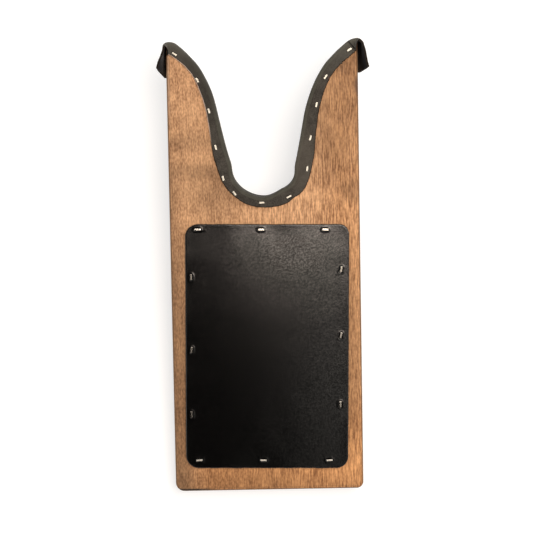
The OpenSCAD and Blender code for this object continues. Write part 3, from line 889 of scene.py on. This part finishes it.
def plywoodMaterial():
    material, tree = newMaterial("stainedPlywood")
    at = boardCoordinates(tree)
    u, v, w = splitVector(tree, at)
    tones = woodTones

    def ranged(value, name):
        return spread(tree, value, *woodRanges[name])

    figure = stainedFigure(tree, at, tones, 0.5, ranged(u, "speckle"), ranged(u, "grain"))
    color = figure["Color"]
    # stain and painted shade, darker towards the heel and the left side
    for centre, size, amount in stainAndShadeSpots:
        color = painted(tree, color, ellipseSpot(tree, u, v, centre, size), amount, tones["stainAndShade"],
                        "MULTIPLY")
    # warmer towards the heel and on the right prong
    warm = times(tree, ranged(v, "warmHeel"), ranged(u, "warmLeft"))
    warm = maths(tree, "MAXIMUM", warm, times(tree, ranged(u, "warmRight"), 0.5))
    color = mixed(tree, warm, color, tones["warmth"], "MULTIPLY")
    # worn and stained rounding along the sides and the heel, its dark edge partly painted shade,
    # with a painted shadow under the heel's left corner
    ragged = less(tree, times(tree, noiseField(tree, at, (0.5, 0.12, 0.5), 3), 0.9), 0.45)
    toSide = maths(tree, "ADD", less(tree, boardShape["width"] / 2, unsigned(tree, u)), ragged)
    toHeel = maths(tree, "ADD", v, ragged)
    nearEdge = maths(tree, "MINIMUM", toSide, toHeel)
    glueLine = ranged(unsigned(tree, less(tree, nearEdge, glueDepth)), "glueLine")
    color = painted(tree, color, glueLine, 0.35, tones["edge"])
    leftTip = times(tree, ranged(u, "leftSide"), ranged(v, "leftProng"))
    arris = times(tree, ranged(nearEdge, "arris"), leftTip)
    color = painted(tree, color, arris, 0.4, tones["wornArris"])
    # the rounding's dark edge, partly stain and partly painted shade
    color = painted(tree, color, ranged(nearEdge, "edgeStainAndShade"), 0.85, tones["edge"])
    # a painted shadow under the heel's left corner
    heelShadowMask = times(tree, ranged(toHeel, "heelShadowReach"), ellipseSpot(tree, u, v, *heelShadowPlace))
    color = mixed(tree, heelShadowMask, color, tones["paintedShadow"])
    # plies on the sawn edges, seen from the side
    bent = times(tree, noiseField(tree, at, (0.02, 0.02, 0.2), 2), 0.25)
    ply = maths(tree, "DIVIDE", maths(tree, "ADD", w, bent), plyThick)
    turn = maths(tree, "PINGPONG", ply, 1.0)
    band = ranged(turn, "plyBand")
    grainAlong = noiseField(tree, at, (0.9, 0.06, 2.4), 4, 0.6)
    grainEnd = noiseField(tree, at, (2.2, 2.2, 2.2), 3, 0.7)
    sawn = mixed(tree, band, tones["plyDeep"], tones["plyPale"])
    sawn = painted(tree, sawn, mixed(tree, band, grainEnd, grainAlong), 0.6, tones["plyDeep"])
    seam = ranged(unsigned(tree, less(tree, turn, 0.5)), "plySeam")
    sawn = painted(tree, sawn, seam, 0.6, tones["edge"])
    fromFace = maths(tree, "MINIMUM", less(tree, boardShape["thick"], w), w)
    color = mixed(tree, ranged(fromFace, "sawnFace"), color, sawn)
    # painted shade at the tips' outer corners, in the gap behind the tails
    tipCornerShade = ellipseSpot(tree, unsigned(tree, u), v, *tipCornerShadePlace)
    color = painted(tree, color, tipCornerShade, 0.9, tones["edge"])
    # a splintered place on the right prong's edge
    splinters = maths(tree, "ADD", v, times(tree, noiseField(tree, at, 0.5, 2), 3.0))
    chip = ellipseSpot(tree, u, splinters, *chipPlace)
    color = painted(tree, color, chip, 0.85, tones["chip"])
    relief = less(tree, figure["Height"], times(tree, chip, 2.0))
    return finished(material, 0.32, {
        "Base Color": color,
        "Roughness": ranged(noiseField(tree, at, (0.4, 0.1, 0.4), 3), "rough"),
        "Normal": bumped(tree, relief, 0.35, 0.0002),
    })


cleatTones = {
    "light": (0.5, 0.3, 0.16, 1), "dark": (0.27, 0.145, 0.07, 1),
    "fleck": (0.13, 0.065, 0.03, 1), "ring": (0.2, 0.1, 0.045, 1),
    "end": (0.13, 0.066, 0.032, 1),
}
cleatEnds = (66.3, 66.7)    # mm from the middle at which the end grain starts


def cleatMaterial():
    material, tree = newMaterial("cleatWood")
    at = boardCoordinates(tree)
    # the cleat's grain runs across the jack
    across = newNode(tree, "Mapping", {"Vector": at, "Rotation": (0, 0, math.radians(90))})
    figure = stainedFigure(tree, across["Vector"], cleatTones, 0.7, 0.3, 0.45)
    rings = noiseField(tree, at, (0.01, 0.45, 0.8), 4, 0.6, twist=0.6)
    atEnd = spread(tree, unsigned(tree, splitVector(tree, at)[0]), *cleatEnds)
    color = painted(tree, figure["Color"], rings, 0.45, cleatTones["ring"])
    relief = maths(tree, "ADD", figure["Height"], times(tree, rings, 0.8))
    return finished(material, 0.3, {
        "Base Color": painted(tree, color, atEnd, 0.55, cleatTones["end"]),
        "Roughness": spread(tree, rings, 0.2, 0.8, 0.55, 0.75),
        "Normal": bumped(tree, relief, 0.4, 0.0003),
    })


suedeTones = {
    "deep": (0.026, 0.022, 0.018, 1), "pale": (0.072, 0.063, 0.052, 1),
    # rim is a painted highlight on the folds
    "rim": (0.085, 0.084, 0.064, 1), "tip": (0.105, 0.098, 0.082, 1),
    # dimple is painted shade in the staples' dimples and the tip's crease
    "dimple": (0.004, 0.0035, 0.003, 1),
}
suedeTip = (300.0, 336.0)    # mm along the board over which the tips turn paler
# places where the suede's tone differs: centre, half widths in mm, amount, tone
suedePlaces = [
    ((49.6, 306.3), (1.7, 2.8), 0.8, (0.13, 0.065, 0.045, 1)),
    # painted light: the right flap's lower part is lightened where it lies in shade
    ((30.0, 245.0), (14, 30), 0.4, (0.105, 0.09, 0.072, 1)),
    ((-52.0, 300.0), (24, 44), 0.6, (0.034, 0.029, 0.023, 1)),
]


def newLeather(name, tones, fibre, patch):
    material, tree = newMaterial(name)
    at = boardCoordinates(tree)
    nap = grouped(tree, leatherNap, Vector=at, Fibre=fibre, Patch=patch)
    return material, tree, at, nap, mixed(tree, nap["Fac"], tones["deep"], tones["pale"])


def suedeMaterial():
    material, tree, at, nap, color = newLeather("roughSuede", suedeTones, 1.3, 0.16)
    u, v = splitVector(tree, at)[:2]
    # painted highlight, greenish grey, on the upper fold and the wall's rows beside it
    color = painted(tree, color, attribute(tree, "foldHighlight"), 0.45, suedeTones["rim"])
    color = painted(tree, color, spread(tree, v, *suedeTip), 0.6, suedeTones["tip"])
    for centre, size, amount, tone in suedePlaces:
        color = painted(tree, color, ellipseSpot(tree, u, v, centre, size), amount, tone)
    return finished(material, 0.15, {
        # painted shade in the staples' dimples and the tip's crease
        "Base Color": painted(tree, color, attribute(tree, "press"), 0.95, suedeTones["dimple"]),
        "Sheen Weight": 0.08, "Sheen Roughness": 0.6,
        "Roughness": spread(tree, nap["Fac"], 0, 1, 0.98, 0.86),
        "Normal": bumped(tree, nap["Height"], 0.8, 0.0005),
    })


backTones = {
    "deep": (0.018, 0.017, 0.019, 1), "pale": (0.034, 0.033, 0.034, 1),
    # fold is painted light on the tail's back next to the fold
    "fold": (0.13, 0.125, 0.125, 1),
}
backFoldLight = (76.0, 71.2)    # mm from the middle over which a tail's back is painted paler towards the fold, painted light against the deep shade there


def flatSideMaterial():
    material, tree, at, nap, color = newLeather("smoothLeatherBack", backTones, 3.0, 0.3)
    side = unsigned(tree, splitVector(tree, at)[0])
    paintedLightNearFold = maths(tree, "POWER", spread(tree, side, *backFoldLight), 1.6)
    return finished(material, 0.0, {
        "Base Color": mixed(tree, paintedLightNearFold, color, backTones["fold"]),
        "Roughness": spread(tree, nap["Fac"], 0, 1, 0.45, 0.6),
        "Normal": bumped(tree, nap["Height"], 0.25, 0.0002),
    })


cutTones = {
    "deep": (0.006, 0.005, 0.004, 1), "pale": (0.035, 0.024, 0.018, 1),
    "cutHighlight": (0.85, 0.66, 0.54, 1),
}
# mm between which the left prong's cut edge gets a painted highlight
cutHighlightPlaces = {"inner": (-26.0, -36.0), "outer": (-70.2, -69.4), "start": (255.0, 275.0),
            "top": (22.6, 21.2)}


def cutLeatherMaterial():
    material, tree, at, nap, color = newLeather("cutLeatherEdge", cutTones, 4.0, 0.8)
    u, v, w = splitVector(tree, at)
    # painted highlight along the left prong's cut edge
    cutHighlight = spread(tree, u, *cutHighlightPlaces["inner"])
    for value, name in ((v, "start"), (w, "top"), (u, "outer")):
        cutHighlight = times(tree, cutHighlight, spread(tree, value, *cutHighlightPlaces[name]))
    return finished(material, 0.1, {
        "Base Color": painted(tree, color, cutHighlight, 0.9, cutTones["cutHighlight"]),
        "Roughness": spread(tree, nap["Fac"], 0, 1, 0.95, 0.85),
        "Normal": bumped(tree, nap["Height"], 0.9, 0.0004),
    })


padTones = {
    "deep": (0.0002, 0.0002, 0.0003, 1), "pale": (0.0006, 0.0006, 0.0006, 1),
    # dimple is painted shade round the staples
    "paleRim": (0.045, 0.042, 0.04, 1), "dimple": (0.001, 0.001, 0.001, 1),
}
padFinish = {
    "smear": ((-46.4, 196.1), (3.4, 1.2)),    # a dull mark beside a staple
    "paleRimReach": (0.9, 0.1),                   # mm in from the cut edge over which the top is painted paler
    "pitScale": 1.15, "pits": (0.36, 0.64, 0.4, 1.0),
    "dulled": (0.0, 1.0, 1.0, 0.05),          # gloss where a staple presses the leather down
    "roughness": (0.25, 0.75, 0.35, 0.5),
    "coarse": 0.08, "fine": 0.24,             # shares of the grain in the relief
}


def padMaterial():
    material, tree, at, _, color = newLeather("blackLeather", padTones, 1.6, 0.06)
    p = padFinish
    u, v = splitVector(tree, at)[:2]
    smear = times(tree, ellipseSpot(tree, u, v, *p["smear"]), 0.9)
    # painted shade round the staples, together with the dull scratch
    shadeAndScratch = maths(tree, "MAXIMUM", attribute(tree, "press"), smear)
    paleRim = spread(tree, attribute(tree, "inset"), *p["paleRimReach"])
    color = painted(tree, color, paleRim, 0.4, padTones["paleRim"])
    pits = spread(tree, noiseField(tree, at, p["pitScale"], 1, 0.5), *p["pits"])
    cloudy = noiseField(tree, at, (0.05, 0.05, 0.05), 4, 0.6)
    fine = times(tree, noiseField(tree, at, 1.7, 1, 0.5), p["fine"])
    relief = maths(tree, "MULTIPLY_ADD", noiseField(tree, at, 0.8, 1, 0.5), p["coarse"], fine)
    creased = bumped(tree, relief, 0.3, 0.0002)
    return finished(material, 0.0, {
        "Base Color": painted(tree, color, shadeAndScratch, 0.95, padTones["dimple"]),
        # the dressing's gloss is in the coat
        "Coat Weight": times(tree, pits, spread(tree, shadeAndScratch, *p["dulled"])),
        "Coat IOR": 1.62, "Coat Roughness": 0.155,
        "Roughness": spread(tree, cloudy, *p["roughness"]),
        "Normal": creased, "Coat Normal": creased,
    })


steels = {
    "padStapleSteel": {"tone": (0.84, 0.82, 0.76, 1), "dull": (0.7, 0.67, 0.6, 1), "rough": 0.22,
                       "crownTop": 21.25, "sideShadeAmount": 0.7},
    "stapleSteel": {"tone": (0.74, 0.71, 0.63, 1), "dull": (0.52, 0.49, 0.42, 1), "rough": 0.48,
                    "crownTop": 21.0},
    "yellowZinc": {"tone": (0.75, 0.63, 0.38, 1), "dull": (0.55, 0.45, 0.26, 1), "rough": 0.3},
}
steelTones = {"bendShade": (0.02, 0.019, 0.018, 1), "sideRowShade": (0.03, 0.03, 0.03, 1)}
steelRanges = {    # mm under the crown's top, out from the pad's middle, and along the board
    "bend": (-0.01, -0.14), "legEnd": (-4.0, -2.0), "side": (53.0, 54.0), "row": (80.0, 78.0),
    "heel": (60.0, 30.0),
}


def steelMaterial(name, tone, dull, rough, crownTop=0.0, sideShadeAmount=0.0):
    material, tree = newMaterial(name)
    at = boardCoordinates(tree)
    u, v, w = splitVector(tree, at)
    drawn = noiseField(tree, at, 1.4, 4, 0.6)
    color = mixed(tree, spread(tree, drawn, 0.3, 0.7), dull, tone)
    ranges = steelRanges
    if crownTop:  # painted shade on a staple's ends, where its crown bends down
        bend, legEnd = [[crownTop + mm for mm in ranges[name]] for name in ("bend", "legEnd")]
        bent = times(tree, spread(tree, w, *bend), spread(tree, w, *legEnd))
        color = painted(tree, color, bent, 0.9, steelTones["bendShade"])
    if sideShadeAmount:  # painted shade on the staples along the pad's long sides
        fromMiddle = unsigned(tree, less(tree, v, padSettings["middle"]))
        sides = times(tree, spread(tree, unsigned(tree, u), *ranges["side"]),
                      spread(tree, fromMiddle, *ranges["row"]))
        color = painted(tree, color, sides, sideShadeAmount, steelTones["sideRowShade"])
    rougher = times(tree, spread(tree, v, *ranges["heel"]), sideShadeAmount * 0.1)
    level = spread(tree, drawn, 0.3, 0.7, rough + 0.04, rough)
    return finished(material, 0.5, {
        "Base Color": color, "Metallic": 1.0,
        "Roughness": maths(tree, "ADD", level, rougher),
        "Normal": bumped(tree, drawn, 0.1, 0.00004),
    })


padSteel, stapleSteel, screwSteel = [steelMaterial(k, **values) for k, values in steels.items()]
finishes = {
    "board": plywoodMaterial(), "cleat": cleatMaterial(), "cleat_screws": screwSteel,
    "pad_staples": padSteel, "lining_top_staples": stapleSteel,
    "lining_under_staples": stapleSteel,
}
for node, material in finishes.items():
    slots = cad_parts[node].data.materials
    if not slots:
        slots.append(material)
    for k in range(len(slots)):
        slots[k] = material
cutLeather = cutLeatherMaterial()
for piece, materials in ((notchLining, (suedeMaterial(), flatSideMaterial(), cutLeather)),
                         (treadPad, (padMaterial(), cutLeather))):
    for material in materials:
        piece.data.materials.append(material)
print("finishes assigned")
